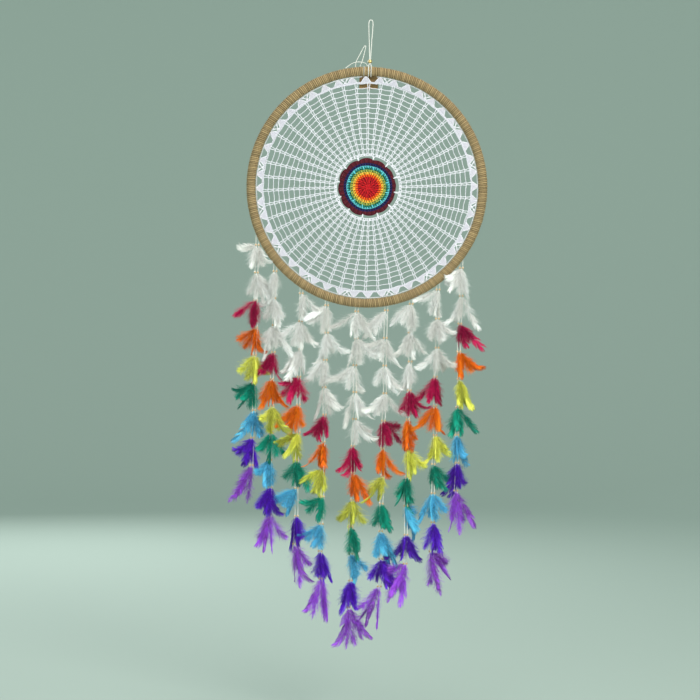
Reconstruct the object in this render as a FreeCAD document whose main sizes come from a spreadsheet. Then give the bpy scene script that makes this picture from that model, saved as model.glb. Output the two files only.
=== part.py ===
import FreeCAD, Part
import math
import os
import Sketcher
from FreeCAD import Vector

# Dream catcher, millimetres.  +X right, +Z up, the front faces -Y.
# The origin is the nail seat: the top inside of the hanging loop.

doc = FreeCAD.newDocument("dream_catcher")
dims = doc.addObject("Spreadsheet::Sheet", "dims")

VALUES = {
    # hoop
    "ring_z": -290.0,          # height of the hoop's centre
    "ring_r": 201.6,           # centre line of the hoop's tube
    "cane_r": 5.5,             # bent cane inside the wrap
    "wrap_r": 8.4,             # cane with its layer of twine
    # crocheted web
    "web_in": 53.5,
    "web_out": 191.6,
    "web_thick": 1.6,
    "mesh_in": 58.4,           # first chain round
    "mesh_out": 180.8,         # last chain round
    "chain_width": 1.8,
    "post_width_in": 4.6,      # a pair of posts at the inner edge
    "post_width_out": 5.8,     # a pair of posts at the outer edge
    "web_turn": -1.9,          # degrees from the top to the nearest pair of posts
    "gap_in": 183.0,           # floor of the gaps between the edge fans
    "picot_tip": 46.0,
    "lace_r": 192.4,
    "lace_wire": 0.8,
    # rosette, outer radius of each round
    "red_r": 18.9,
    "orange_r": 23.0,
    "yellow_r": 27.3,
    "lime_r": 31.6,
    "teal_r": 34.2,
    "aqua_r": 38.2,
    "navy_r": 42.5,
    "petal_disc_r": 46.2,
    "petal_centre": 35.7,
    "petal_r": 14.0,
    "rosette_thick": 3.2,
    # hanging cord
    "hang_cord_r": 0.7,
    "bead_z": -71.3,
    "bead_r": 3.4,
    "bead_bore_r": 1.55,
    # kraft tag
    "tag_width": 33.0,
    "tag_height": 31.0,
    "tag_thick": 0.5,
    "tag_x": -1.2,
    "tag_y": 11.4,
    "tag_low": 172.4,          # lower edge, above the hoop's centre
    "tag_hole_r": 1.6,
    "tag_hole_x": -10.0,
    "tag_hole_up": 26.5,
    # strands
    "cord_r": 0.6,
    "cord_half": 2.5,          # half the distance between the two legs
    "small_bead_r": 2.0,
    "small_bore_r": 0.68,
    "drop": 1.5,               # lowest stub end below the wrap
    "first_bead": 4.2,         # first bead below the top of the strand
    "tail": 14.0,              # cord below the last bead
    "feather_width": 12.0,
    "feather_thick": 0.9,
    "feather_y": 1.5,
    "feather_len": 57.0,
    "last_feather_len": 64.0,
    "feather_splay": 8.5,      # degrees from plumb
}
for row, (alias, value) in enumerate(VALUES.items(), start=1):
    dims.set("A%d" % row, alias)
    dims.set("B%d" % row, "%.4f" % value)
    dims.setAlias("B%d" % row, alias)
doc.recompute()


def val(alias):
    return float(getattr(dims, alias))


SPOKES = 48
ROWS = 14
PETALS = 12
EDGE_REPEAT = 3

RING_Z = val("ring_z")
RING_R = val("ring_r")
WRAP_R = val("wrap_r")
parts = {}


def keep(node, obj):
    obj.Label = node
    parts[node] = obj
    return obj


def solid_feature(node, shape):
    obj = doc.addObject("Part::Feature", node)
    obj.Shape = shape
    return keep(node, obj)


# ---------------------------------------------------------------- cords

def route_wire(points):
    """Straight runs joined by tangent arcs; returns the wire and the arc radii."""
    edges = []
    radii = []
    start = points[0]
    for before, corner, after in zip(points, points[1:], points[2:]):
        a = before - corner
        b = after - corner
        half_turn = (math.pi - a.getAngle(b)) / 2
        radius = 0.45 * min(a.Length, b.Length) / math.tan(half_turn)
        reach = radius * math.tan(half_turn)
        a.normalize()
        b.normalize()
        enter = corner + a * reach
        leave = corner + b * reach
        bisector = a + b
        bisector.normalize()
        middle = corner + bisector * (radius / math.cos(half_turn) - radius)
        edges.append(Part.LineSegment(start, enter).toShape())
        edges.append(Part.Arc(enter, middle, leave).toShape())
        radii.append(radius)
        start = leave
    edges.append(Part.LineSegment(start, points[-1]).toShape())
    return Part.Wire(edges), radii


def tube(points, radius, name):
    """A round cord along the route, its volume compared with section times length."""
    wire, radii = route_wire(points)
    heading = points[1] - points[0]
    ring = Part.Wire(Part.Circle(points[0], heading, radius).toShape())
    shape = wire.makePipeShell([ring], True, False)
    expected = math.pi * radius * radius * wire.Length
    if not shape.isValid() or abs(shape.Volume - expected) > 0.01 * expected:
        raise ValueError("cord %s: volume %.2f, expected %.2f" % (name, shape.Volume, expected))
    print("cord", name, "length %.1f" % wire.Length, "arc radii", [round(r, 1) for r in radii])
    return shape


def hoop_point(x, y, up):
    """A point given from the hoop's centre."""
    return Vector(x, y, RING_Z + up)


# ---------------------------------------------------------------- hoop

def torus(name, radius_alias):
    obj = doc.addObject("Part::Torus", name)
    obj.setExpression("Radius1", "dims.ring_r")
    obj.setExpression("Radius2", "dims." + radius_alias)
    obj.Placement = FreeCAD.Placement(Vector(0, 0, RING_Z), FreeCAD.Rotation(Vector(1, 0, 0), 90))
    obj.setExpression("Placement.Base.z", "dims.ring_z")
    return obj


keep("cane_hoop", torus("cane_hoop", "cane_r"))
wrap_outer = torus("wrap_outer", "wrap_r")
wrap_inner = torus("wrap_inner", "cane_r")
wrap = doc.addObject("Part::Cut", "jute_wrap")
wrap.Base = wrap_outer
wrap.Tool = wrap_inner
keep("jute_wrap", wrap)


# ---------------------------------------------------------------- flat crochet

def plane_of(body, role):
    return [f for f in body.Origin.OriginFeatures if f.Role == role][0]


def new_body(name):
    body = doc.addObject("PartDesign::Body", name)
    body.setExpression("Placement.Base.z", "dims.ring_z")
    return body


def new_sketch(body, name):
    sketch = body.newObject("Sketcher::SketchObject", name)
    sketch.AttachmentSupport = [(plane_of(body, "XZ_Plane"), "")]
    sketch.MapMode = "FlatFace"
    return sketch


def add_circle(sketch, alias, centre=0.0, centre_alias=None):
    """A circle on the sketch's X axis, its radius (and centre) bound to the sheet."""
    index = sketch.addGeometry(Part.Circle(Vector(centre, 0, 0), Vector(0, 0, 1), val(alias)), False)
    number = sketch.addConstraint(Sketcher.Constraint("Radius", index, val(alias)))
    sketch.setExpression("Constraints[%d]" % number, "dims." + alias)
    if centre_alias is None:
        sketch.addConstraint(Sketcher.Constraint("Coincident", index, 3, -1, 1))
    else:
        sketch.addConstraint(Sketcher.Constraint("PointOnObject", index, 3, -1))
        number = sketch.addConstraint(Sketcher.Constraint("DistanceX", -1, 1, index, 3, centre))
        sketch.setExpression("Constraints[%d]" % number, "dims." + centre_alias)


def add_outline(sketch, corners):
    count = len(corners)
    for i in range(count):
        sketch.addGeometry(Part.LineSegment(corners[i], corners[(i + 1) % count]), False)


def pad(body, sketch, name, thickness_alias):
    feature = body.newObject("PartDesign::Pad", name)
    feature.Profile = sketch
    feature.SideType = "Symmetric"
    feature.setExpression("Length", "dims." + thickness_alias)
    body.Tip = feature
    return feature


def pocket(body, sketch, name):
    doc.recompute()
    before = body.Shape.Volume
    feature = body.newObject("PartDesign::Pocket", name)
    feature.Profile = sketch
    feature.Type = "ThroughAll"
    feature.SideType = "Symmetric"
    body.Tip = feature
    doc.recompute()
    if not body.Shape.Volume < before - 1e-6:
        raise ValueError("pocket %s removed nothing" % name)
    return feature


def polar(body, feature, name, count):
    pattern = body.newObject("PartDesign::PolarPattern", name)
    pattern.Originals = [feature]
    pattern.Axis = (plane_of(body, "Y_Axis"), [""])
    pattern.Angle = 360
    pattern.Occurrences = count
    body.Tip = pattern
    return pattern


PITCH = 2 * math.pi / SPOKES
FIRST = math.radians(90 - val("web_turn"))


def flat_point(radius, angle):
    return Vector(radius * math.cos(angle), radius * math.sin(angle), 0)


def cell_corners(low, high, post_low, post_high, middle):
    """A straight-sided opening between two pairs of posts, its middle at this angle."""
    corners = []
    for radius, post, side in ((low, post_low, -1), (low, post_low, 1),
                               (high, post_high, 1), (high, post_high, -1)):
        corners.append(flat_point(radius, middle + side * (PITCH / 2 - post / 2 / radius)))
    return corners


def post_width(radius):
    share = (radius - val("mesh_in")) / (val("mesh_out") - val("mesh_in"))
    return val("post_width_in") + share * (val("post_width_out") - val("post_width_in"))


web = new_body("web_net")
web_base = new_sketch(web, "web_outline")
add_circle(web_base, "web_in")
add_circle(web_base, "web_out")
pad(web, web_base, "web_plate", "web_thick")
picot = new_sketch(web, "picot_outline")
picot_angle = FIRST + 2.5 * PITCH
add_outline(picot, [flat_point(val("picot_tip"), picot_angle),
                    flat_point(54.2, picot_angle - 0.032),
                    flat_point(54.2, picot_angle + 0.032)])
picot_pad = pad(web, picot, "picot", "web_thick")
polar(web, picot_pad, "picots", PETALS)
column = new_sketch(web, "cell_column")
row_pitch = (val("mesh_out") - val("mesh_in")) / ROWS
for row in range(ROWS):
    low = val("mesh_in") + row * row_pitch + val("chain_width") / 2
    high = val("mesh_in") + (row + 1) * row_pitch - val("chain_width") / 2
    add_outline(column, cell_corners(low, high, post_width(low), post_width(high), FIRST + PITCH / 2))
cells = pocket(web, column, "cells")
polar(web, cells, "cell_rows", SPOKES)
edge = new_sketch(web, "edge_gaps")
gap_low = val("gap_in")
gap_high = val("web_out") + 1.0
for cell in range(EDGE_REPEAT):
    middle = FIRST + (cell + 0.5) * PITCH
    if cell == 0:
        # two slivers beside a crossed pair of threads
        for side in (-1, 1):
            add_outline(edge, [flat_point(gap_low + 2.0, middle + side * 0.018),
                               flat_point(gap_high, middle + side * 0.012),
                               flat_point(gap_high, middle + side * 0.046)])
    else:
        add_outline(edge, [flat_point(gap_low, middle - 0.012), flat_point(gap_low, middle + 0.012),
                           flat_point(gap_high, middle + 0.048), flat_point(gap_high, middle - 0.048)])
gaps = pocket(web, edge, "fan_gaps")
polar(web, gaps, "fans", SPOKES // EDGE_REPEAT)
keep("web_net", web)

ROUNDS = [("rosette_red", "red_r", None), ("rosette_orange", "orange_r", "red_r"),
          ("rosette_yellow", "yellow_r", "orange_r"), ("rosette_lime", "lime_r", "yellow_r"),
          ("rosette_teal", "teal_r", "lime_r"), ("rosette_aqua", "aqua_r", "teal_r"),
          ("rosette_navy", "navy_r", "aqua_r")]
for node, outer, inner in ROUNDS:
    body = new_body(node)
    outline = new_sketch(body, node + "_outline")
    add_circle(outline, outer)
    if inner:
        add_circle(outline, inner)
    pad(body, outline, node + "_pad", "rosette_thick")
    keep(node, body)

petals = new_body("rosette_maroon")
petal_disc = new_sketch(petals, "petal_disc")
add_circle(petal_disc, "petal_disc_r")
pad(petals, petal_disc, "petal_disc_pad", "rosette_thick")
petal = new_sketch(petals, "petal_outline")
add_circle(petal, "petal_r", val("petal_centre"), "petal_centre")
petal_pad = pad(petals, petal, "petal", "rosette_thick")
polar(petals, petal_pad, "petal_round", PETALS)
petal_hole = new_sketch(petals, "petal_hole")
add_circle(petal_hole, "navy_r")
pocket(petals, petal_hole, "petal_opening")
# the picots meet the valleys between the petals
valley = math.degrees(picot_angle) - 360.0 / PETALS / 2
petals.Placement = FreeCAD.Placement(Vector(0, 0, RING_Z), FreeCAD.Rotation(Vector(0, -1, 0), valley))
petals.setExpression("Placement.Base.z", "dims.ring_z")
keep("rosette_maroon", petals)

lacing_half = math.degrees(13.0 / val("lace_r"))
lacing = doc.addObject("Part::Torus", "lacing_thread")
lacing.setExpression("Radius1", "dims.lace_r")
lacing.setExpression("Radius2", "dims.lace_wire")
lacing.Angle3 = 360 - 2 * lacing_half
turn = FreeCAD.Rotation(Vector(1, 0, 0), 90).multiply(FreeCAD.Rotation(Vector(0, 0, 1), 90 + lacing_half))
lacing.Placement = FreeCAD.Placement(Vector(0, 0, RING_Z), turn)
lacing.setExpression("Placement.Base.z", "dims.ring_z")
keep("lacing_thread", lacing)

# ---------------------------------------------------------------- hanger

HANG_R = val("hang_cord_r")
BEAD_Z = val("bead_z")
IN_BEAD = HANG_R + 0.06
loop_points = [Vector(-IN_BEAD, 0, BEAD_Z), Vector(-IN_BEAD - 0.1, 0, BEAD_Z + 9),
               Vector(-3.7, 0, -9.0), Vector(-3.6, 0, -2.6), Vector(-2.0, 0, HANG_R),
               Vector(2.0, 0, HANG_R), Vector(3.6, 0, -2.6), Vector(3.7, 0, -9.0),
               Vector(IN_BEAD + 0.1, 0, BEAD_Z + 9), Vector(IN_BEAD, 0, BEAD_Z)]
solid_feature("hanger_loop", tube(loop_points, HANG_R, "hanger_loop"))

bead_ball = doc.addObject("Part::Sphere", "hanger_bead_ball")
bead_ball.setExpression("Radius", "dims.bead_r")
bead_ball.setExpression("Placement.Base.z", "dims.bead_z")
bead_bore = doc.addObject("Part::Cylinder", "hanger_bead_bore")
bead_bore.setExpression("Radius", "dims.bead_bore_r")
bead_bore.Height = 20
bead_bore.setExpression("Placement.Base.z", "dims.bead_z - 10")
hanger_bead = doc.addObject("Part::Cut", "hanger_bead")
hanger_bead.Base = bead_ball
hanger_bead.Tool = bead_bore
keep("hanger_bead", hanger_bead)

# each leg goes down the front of the hoop, under it and up its back to the bead
AROUND = WRAP_R + HANG_R + 0.05
TUBE_Z = RING_Z + RING_R
LEG_X = 2.2
legs = []
for side in (-1, 1):
    x = side * LEG_X
    leg_points = [Vector(side * IN_BEAD, 0, BEAD_Z),
                  Vector(side * (IN_BEAD + 0.05), -0.1, BEAD_Z - 4.4),
                  Vector(x, -5.2, TUBE_Z + 9.6)]
    for degrees in (157.5, 202.5, 247.5, 292.5, 337.5, 382.5):
        corner = AROUND / math.cos(math.radians(22.5))
        angle = math.radians(degrees)
        leg_points.append(Vector(x, corner * math.cos(angle), TUBE_Z + corner * math.sin(angle)))
    leg_points.append(Vector(side * 1.4, 2.2, TUBE_Z + 11.4))
    legs.append(tube(leg_points, HANG_R, "hitch_cord"))
solid_feature("hitch_cord", Part.makeCompound(legs))

spare_points = [hoop_point(-24.4, 6.2, 205.4), hoop_point(-26.3, 5.6, 216.0),
                hoop_point(-15.3, 3.2, 235.6), hoop_point(-10.6, 2.6, 246.5),
                hoop_point(-7.2, 2.2, 245.8), hoop_point(-9.9, 2.8, 235.7),
                hoop_point(-12.2, 4.2, 223.0), hoop_point(-18.6, 6.0, 206.0)]
solid_feature("spare_loop", tube(spare_points, 0.6, "spare_loop"))
tail_points = [hoop_point(-4.4, -2.6, 209.7), hoop_point(-5.6, -2.9, 214.2),
               hoop_point(-12.0, -3.2, 216.6), hoop_point(-20.8, -3.0, 217.2),
               hoop_point(-32.9, -2.4, 214.0), hoop_point(-42.3, -2.0, 205.4)]
solid_feature("tail_cord", tube(tail_points, 0.5, "tail_cord"))

tag_plate = doc.addObject("Part::Box", "tag_plate")
tag_plate.setExpression("Length", "dims.tag_width")
tag_plate.setExpression("Width", "dims.tag_thick")
tag_plate.setExpression("Height", "dims.tag_height")
tag_plate.setExpression("Placement.Base.x", "dims.tag_x - dims.tag_width / 2")
tag_plate.setExpression("Placement.Base.y", "dims.tag_y")
tag_plate.setExpression("Placement.Base.z", "dims.ring_z + dims.tag_low")
tag_hole = doc.addObject("Part::Cylinder", "tag_hole")
tag_hole.setExpression("Radius", "dims.tag_hole_r")
tag_hole.Height = 10
tag_hole.Placement = FreeCAD.Placement(Vector(0, 0, 0), FreeCAD.Rotation(Vector(1, 0, 0), 90))
tag_hole.setExpression("Placement.Base.x", "dims.tag_hole_x")
tag_hole.setExpression("Placement.Base.y", "dims.tag_y + 5")
tag_hole.setExpression("Placement.Base.z", "dims.ring_z + dims.tag_low + dims.tag_hole_up")
tag = doc.addObject("Part::Cut", "kraft_tag")
tag.Base = tag_plate
tag.Tool = tag_hole
keep("kraft_tag", tag)

STRING_R = 0.4
string_points = [hoop_point(-10.0, 13.0, 199.6), hoop_point(-10.2, 9.6, 200.6)]
for degrees in (32.0, 75.0, 120.0, 165.0, 210.0, 255.0, 300.0, 338.0):
    corner = (WRAP_R + STRING_R + 0.1) / math.cos(math.radians(22.5))
    angle = math.radians(degrees)
    shift = 0.002 * (degrees - 185.0)
    string_points.append(hoop_point(-10.1 + shift, corner * math.cos(angle),
                                    RING_R - 0.25 + corner * math.sin(angle)))
string_points.append(hoop_point(-9.9, 13.0, 198.0))
solid_feature("tag_string", tube(string_points, STRING_R, "tag_string"))

# ---------------------------------------------------------------- strands

# name, distance from the middle, beads' pitch, white tiers
STRANDS = [("strand_1", -188.0, 47.9, 2), ("strand_2", -156.0, 46.9, 3), ("strand_3", -109.5, 48.4, 3),
           ("strand_4", -65.0, 47.5, 4), ("strand_5", -12.5, 46.8, 5), ("strand_6", 39.0, 48.0, 4),
           ("strand_7", 82.0, 50.2, 3), ("strand_8", 128.0, 50.6, 3), ("strand_9", 167.5, 48.4, 2)]
DYED_TIERS = 7
CORD_R = val("cord_r")
HALF = val("cord_half")
BEAD_R = val("small_bead_r")

# outline of a feather, share of length and share of half the width, from quill to tip
FEATHER_SHAPE = [(0.0, 0.10), (0.08, 0.12), (0.15, 0.55), (0.28, 0.92), (0.45, 1.0),
                 (0.65, 0.90), (0.82, 0.62), (0.94, 0.28), (1.0, 0.06)]


def wrap_low(x):
    """Height of the lowest point of the wrapped hoop at this x."""
    return RING_Z - math.sqrt((RING_R + WRAP_R) ** 2 - x * x)


def feather(start, length, splay, y):
    """A flat leaf-shaped blade hanging from start, leaning sideways by splay degrees."""
    half = val("feather_width") / 2
    thick = val("feather_thick")
    left = [Vector(-half * w, 0, -length * s) for s, w in FEATHER_SHAPE]
    right = [Vector(half * w, 0, -length * s) for s, w in reversed(FEATHER_SHAPE)]
    outline = left + right
    blade = Part.Face(Part.makePolygon(outline + outline[:1])).extrude(Vector(0, thick, 0))
    blade.translate(Vector(0, -thick / 2, 0))
    blade.rotate(Vector(0, 0, 0), Vector(0, 1, 0), -splay)
    blade.translate(Vector(start.x, y, start.z))
    return blade


stubs = []
stub_cutter = Part.makeTorus(RING_R, WRAP_R, Vector(0, 0, RING_Z), Vector(0, 1, 0))
for number, (name, x0, pitch, whites) in enumerate(STRANDS, start=1):
    tiers = whites + DYED_TIERS
    seat = wrap_low(abs(x0) - HALF) - val("drop")
    top = seat - CORD_R
    beads_z = [top - val("first_bead") - tier * pitch for tier in range(tiers)]
    sway = [0.0] + [1.5 * math.sin(2.1 * tier + 1.3 * number) for tier in range(1, tiers)]
    cords = []
    balls = []
    for side in (-1, 1):
        leg_x = x0 + side * HALF
        stub = Part.makeCylinder(CORD_R, wrap_low(abs(leg_x)) + 3.0 - seat, Vector(leg_x, 0, seat))
        stubs.append(stub.cut(stub_cutter))
        route = [Vector(leg_x, 0, top)]
        for tier in range(1, tiers):
            route.append(Vector(leg_x + sway[tier], 0, beads_z[tier]))
        last_run = val("tail") * (1.6 if name == "strand_5" else 1.0)
        route.append(Vector(leg_x + sway[-1] + 0.4 * side, 0, beads_z[-1] - last_run))
        cord = tube(route, CORD_R, name + "_cords")
        cords.append(cord.fuse(Part.makeSphere(CORD_R, route[0])))
        for tier in range(tiers):
            if tier == 0:
                share = val("first_bead") / (val("first_bead") + pitch)
                centre = route[0] + (route[1] - route[0]) * share
                along = route[1] - route[0]
            else:
                corner = route[tier]
                back = corner - route[tier - 1]
                ahead = route[tier + 1] - corner
                half_turn = back.getAngle(ahead) / 2
                along = Vector(back).normalize() + Vector(ahead).normalize()
                inward = Vector(ahead).normalize() - Vector(back).normalize()
                radius = 0.45 * min(back.Length, ahead.Length) / math.tan(half_turn)
                centre = corner + inward.normalize() * (radius / math.cos(half_turn) - radius)
            along.normalize()
            ball = Part.makeSphere(BEAD_R, centre)
            bore = Part.makeCylinder(val("small_bore_r"), 4 * BEAD_R, centre - along * (2 * BEAD_R), along)
            balls.append(ball.cut(bore))
    white = []
    dyed = []
    for tier in range(tiers):
        last = tier == tiers - 1
        for side in (-1, 1):
            length = val("last_feather_len") if last else val("feather_len")
            length += 3.0 * math.sin(1.9 * tier + 0.7 * number + side)
            x_bead = x0 + side * HALF + sway[tier]
            start = Vector(x_bead, 0, beads_z[tier] - 1.15)
            # tiers take turns in front, so a long blade passes the next one
            depth = side * (-1) ** tier * val("feather_y")
            blade = feather(start, length, side * val("feather_splay"), depth)
            (white if tier < whites else dyed).append(blade)
    solid_feature(name + "_cords", Part.makeCompound(cords))
    solid_feature(name + "_beads", Part.makeCompound(balls))
    solid_feature(name + "_white_feathers", Part.makeCompound(white))
    solid_feature(name + "_dyed_feathers", Part.makeCompound(dyed))
    print(name, "tiers", tiers, "top %.2f" % top, "last bead %.1f" % beads_z[-1])
solid_feature("strand_stubs", Part.makeCompound(stubs))

# ---------------------------------------------------------------- files

doc.recompute()
for obj in doc.Objects:
    if "Invalid" in obj.State or "Error" in obj.State:
        raise ValueError("%s is %s" % (obj.Label, obj.State))
os.makedirs("parts", exist_ok=True)
for node, obj in parts.items():
    shape = obj.Shape
    if shape.isNull() or not shape.isValid() or not shape.Solids:
        raise ValueError("bad shape: " + node)
    shape.exportStep("parts/%s.step" % node)
    box = shape.BoundBox
    print("%-26s solids %3d faces %5d volume %10.1f  x %.1f %.1f  y %.1f %.1f  z %.1f %.1f" % (
        node, len(shape.Solids), len(shape.Faces), shape.Volume,
        box.XMin, box.XMax, box.YMin, box.YMax, box.ZMin, box.ZMax))
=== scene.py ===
import math

import bpy
import numpy as np
from mathutils import Matrix, Vector


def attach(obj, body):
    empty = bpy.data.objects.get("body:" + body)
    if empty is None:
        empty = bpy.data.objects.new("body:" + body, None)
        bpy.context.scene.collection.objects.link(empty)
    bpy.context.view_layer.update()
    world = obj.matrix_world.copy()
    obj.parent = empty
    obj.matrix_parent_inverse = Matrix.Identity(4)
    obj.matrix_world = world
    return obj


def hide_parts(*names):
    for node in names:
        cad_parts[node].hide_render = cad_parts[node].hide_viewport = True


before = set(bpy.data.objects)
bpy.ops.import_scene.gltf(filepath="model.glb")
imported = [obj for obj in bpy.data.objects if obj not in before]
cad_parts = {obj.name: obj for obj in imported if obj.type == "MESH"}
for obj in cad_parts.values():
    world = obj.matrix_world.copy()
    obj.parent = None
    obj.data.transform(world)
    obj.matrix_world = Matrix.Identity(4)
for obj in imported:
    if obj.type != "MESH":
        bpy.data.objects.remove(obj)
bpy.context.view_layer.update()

MM = 0.001
RING_Z = -0.290                   # the hoop's centre
RING_R = 0.2016                   # centre line of the hoop's tube
WRAP_R = 0.0084                   # outside of the twine
SPOKES = 48                       # pairs of posts in the web
ROWS = 14
PETALS = 12
PITCH = 2 * math.pi / SPOKES
FIRST = math.radians(90 + 1.9)    # the pair of posts nearest the top
PICOT = FIRST + 2.5 * PITCH       # the first joint between the web and the coloured centre


# ------------------------------------------------------------------ camera

camera = bpy.data.objects.new("camera", bpy.data.cameras.new("camera"))
bpy.context.scene.collection.objects.link(camera)
bpy.context.scene.camera = camera
DISTANCE = 3.0
SEEN = 1.217                      # width of the view at the object
SENSOR = 36.0
AIM_X, AIM_Z = -0.0225, -0.5736
TILT = math.radians(1.4)          # the photographer's camera wasn't quite level
camera.data.sensor_width = SENSOR
camera.data.lens = SENSOR * DISTANCE / SEEN
camera.matrix_world = (Matrix.Translation((AIM_X, -DISTANCE, AIM_Z))
                       @ Matrix.Rotation(math.radians(90), 4, "X")
                       @ Matrix.Rotation(TILT, 4, "Z"))


# ------------------------------------------------------------------ materials

def material(name, colour, rough=0.8, sheen=0.0, bump=0.0, bump_scale=900.0, mottle=0.0,
             mottle_scale=60.0, metallic=0.0, coat=0.0):
    """A plain surface; bump and mottle add fine relief and uneven colour."""
    mat = bpy.data.materials.new(name)
    mat.use_nodes = True
    nodes = mat.node_tree.nodes
    links = mat.node_tree.links
    shader = nodes["Principled BSDF"]
    shader.inputs["Base Color"].default_value = (*colour, 1.0)
    shader.inputs["Roughness"].default_value = rough
    shader.inputs["Metallic"].default_value = metallic
    shader.inputs["Specular IOR Level"].default_value = 0.3
    shader.inputs["Sheen Weight"].default_value = sheen
    shader.inputs["Coat Weight"].default_value = coat
    mat.diffuse_color = (*colour, 1.0)
    if bump or mottle:
        place = nodes.new("ShaderNodeTexCoord")
    if bump:
        grain = nodes.new("ShaderNodeTexNoise")
        grain.inputs["Scale"].default_value = bump_scale
        grain.inputs["Detail"].default_value = 3.0
        relief = nodes.new("ShaderNodeBump")
        relief.inputs["Strength"].default_value = bump
        relief.inputs["Distance"].default_value = 0.0004
        links.new(place.outputs["Object"], grain.inputs["Vector"])
        links.new(grain.outputs["Fac"], relief.inputs["Height"])
        links.new(relief.outputs["Normal"], shader.inputs["Normal"])
    if mottle:
        cloud = nodes.new("ShaderNodeTexNoise")
        cloud.inputs["Scale"].default_value = mottle_scale
        cloud.inputs["Detail"].default_value = 4.0
        ramp = nodes.new("ShaderNodeValToRGB")
        ramp.color_ramp.elements[0].position = 0.3
        ramp.color_ramp.elements[1].position = 0.7
        ramp.color_ramp.elements[0].color = (*[c * (1 - mottle) for c in colour], 1.0)
        ramp.color_ramp.elements[1].color = (*[min(1.0, c * (1 + mottle)) for c in colour], 1.0)
        links.new(place.outputs["Object"], cloud.inputs["Vector"])
        links.new(cloud.outputs["Fac"], ramp.inputs["Fac"])
        links.new(ramp.outputs["Color"], shader.inputs["Base Color"])
    return mat


def shades(name, colour, spread=0.25, **more):
    """A light, a middle and a dark shade of one material."""
    out = []
    for tag, gain in (("mid", 1.0), ("light", 1 + spread), ("dark", 1 - spread)):
        out.append(material(name + "_" + tag, [min(1.0, c * gain) for c in colour], **more))
    return out


JUTE = shades("jute", (0.37, 0.265, 0.135), 0.17, rough=0.95, bump=0.8, bump_scale=1500)
# near-black brown for the layer beneath the turns: painted shadow in the grooves between them
JUTE_GROOVE_SHADOW = material("jute_painted_groove_shadow", (0.13, 0.09, 0.04), rough=0.95)
THREAD = material("white_thread", (0.76, 0.75, 0.80), rough=0.85, bump=0.5, bump_scale=2200)
# greyer thread for the fans' inner stitches and the solid row's bars: painted shade
THREAD_PAINTED_SHADE = material("white_thread_painted_shade", (0.62, 0.60, 0.67), rough=0.85, bump=0.5,
                         bump_scale=2200)
CORD = material("white_cord", (0.80, 0.78, 0.72), rough=0.75, bump=0.4, bump_scale=2500)
WOOD = material("wood_bead", (0.66, 0.47, 0.27), rough=0.28, mottle=0.15, mottle_scale=350, coat=0.9)
GOLD = material("gold_bead", (0.80, 0.55, 0.20), rough=0.22, metallic=1.0)
CARD = material("kraft_card", (0.30, 0.19, 0.08), rough=0.9, mottle=0.12, mottle_scale=220, bump=0.2)
CANE = material("cane", (0.62, 0.45, 0.26), rough=0.6, mottle=0.15)

DYES = {
    "white": (0.93, 0.92, 0.88),
    "crimson": (0.46, 0.004, 0.075),
    "orange": (1.0, 0.18, 0.004),
    "yellow": (0.76, 0.78, 0.11),
    "teal": (0.003, 0.30, 0.20),
    "blue": (0.11, 0.50, 0.80),
    "violet": (0.11, 0.014, 0.55),
    "lilac": (0.36, 0.080, 0.70),
}
DYED_ORDER = ["crimson", "orange", "yellow", "teal", "blue", "violet", "lilac"]
WHITE_SPREAD, DYE_SPREAD = 0.12, 0.42
FEATHER = {}
for dye, colour in DYES.items():
    FEATHER[dye] = shades("feather_" + dye, colour, WHITE_SPREAD if dye == "white" else DYE_SPREAD,
                          rough=0.6)


# ------------------------------------------------------------------ meshes

class Mesh:
    """Collects tubes as plain arrays and makes one object of them."""

    def __init__(self):
        self.points = []
        self.faces = []
        self.slots = []
        self.count = 0

    def add(self, points, faces, slot):
        """faces: arrays of corner numbers, one array per corner count; slot: one number per face."""
        self.points.append(points.reshape(-1, 3))
        for block, number in zip(faces, slot):
            self.faces.append(block + self.count)
            self.slots.append(np.broadcast_to(number, (len(block),)))
        self.count += len(self.points[-1])

    def make(self, name, body, materials, slot=None):
        points = np.concatenate(self.points)
        corners = np.concatenate([f.ravel() for f in self.faces])
        sizes = np.concatenate([np.full(len(f), f.shape[1]) for f in self.faces])
        starts = np.concatenate([[0], np.cumsum(sizes)[:-1]])
        mesh = bpy.data.meshes.new(name)
        mesh.vertices.add(len(points))
        mesh.vertices.foreach_set("co", points.astype(np.float32).ravel())
        mesh.loops.add(len(corners))
        mesh.loops.foreach_set("vertex_index", corners.astype(np.int32))
        mesh.polygons.add(len(sizes))
        mesh.polygons.foreach_set("loop_start", starts.astype(np.int32))
        for mat in materials:
            mesh.materials.append(mat)
        mesh.polygons.foreach_set("material_index", np.concatenate(self.slots).astype(np.int32))
        mesh.update(calc_edges=True)
        mesh.shade_smooth()
        obj = bpy.data.objects.new(name, mesh)
        bpy.context.scene.collection.objects.link(obj)
        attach(obj, body)
        return obj


def unit(v):
    return v / np.maximum(np.linalg.norm(v, axis=-1, keepdims=True), 1e-12)


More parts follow.
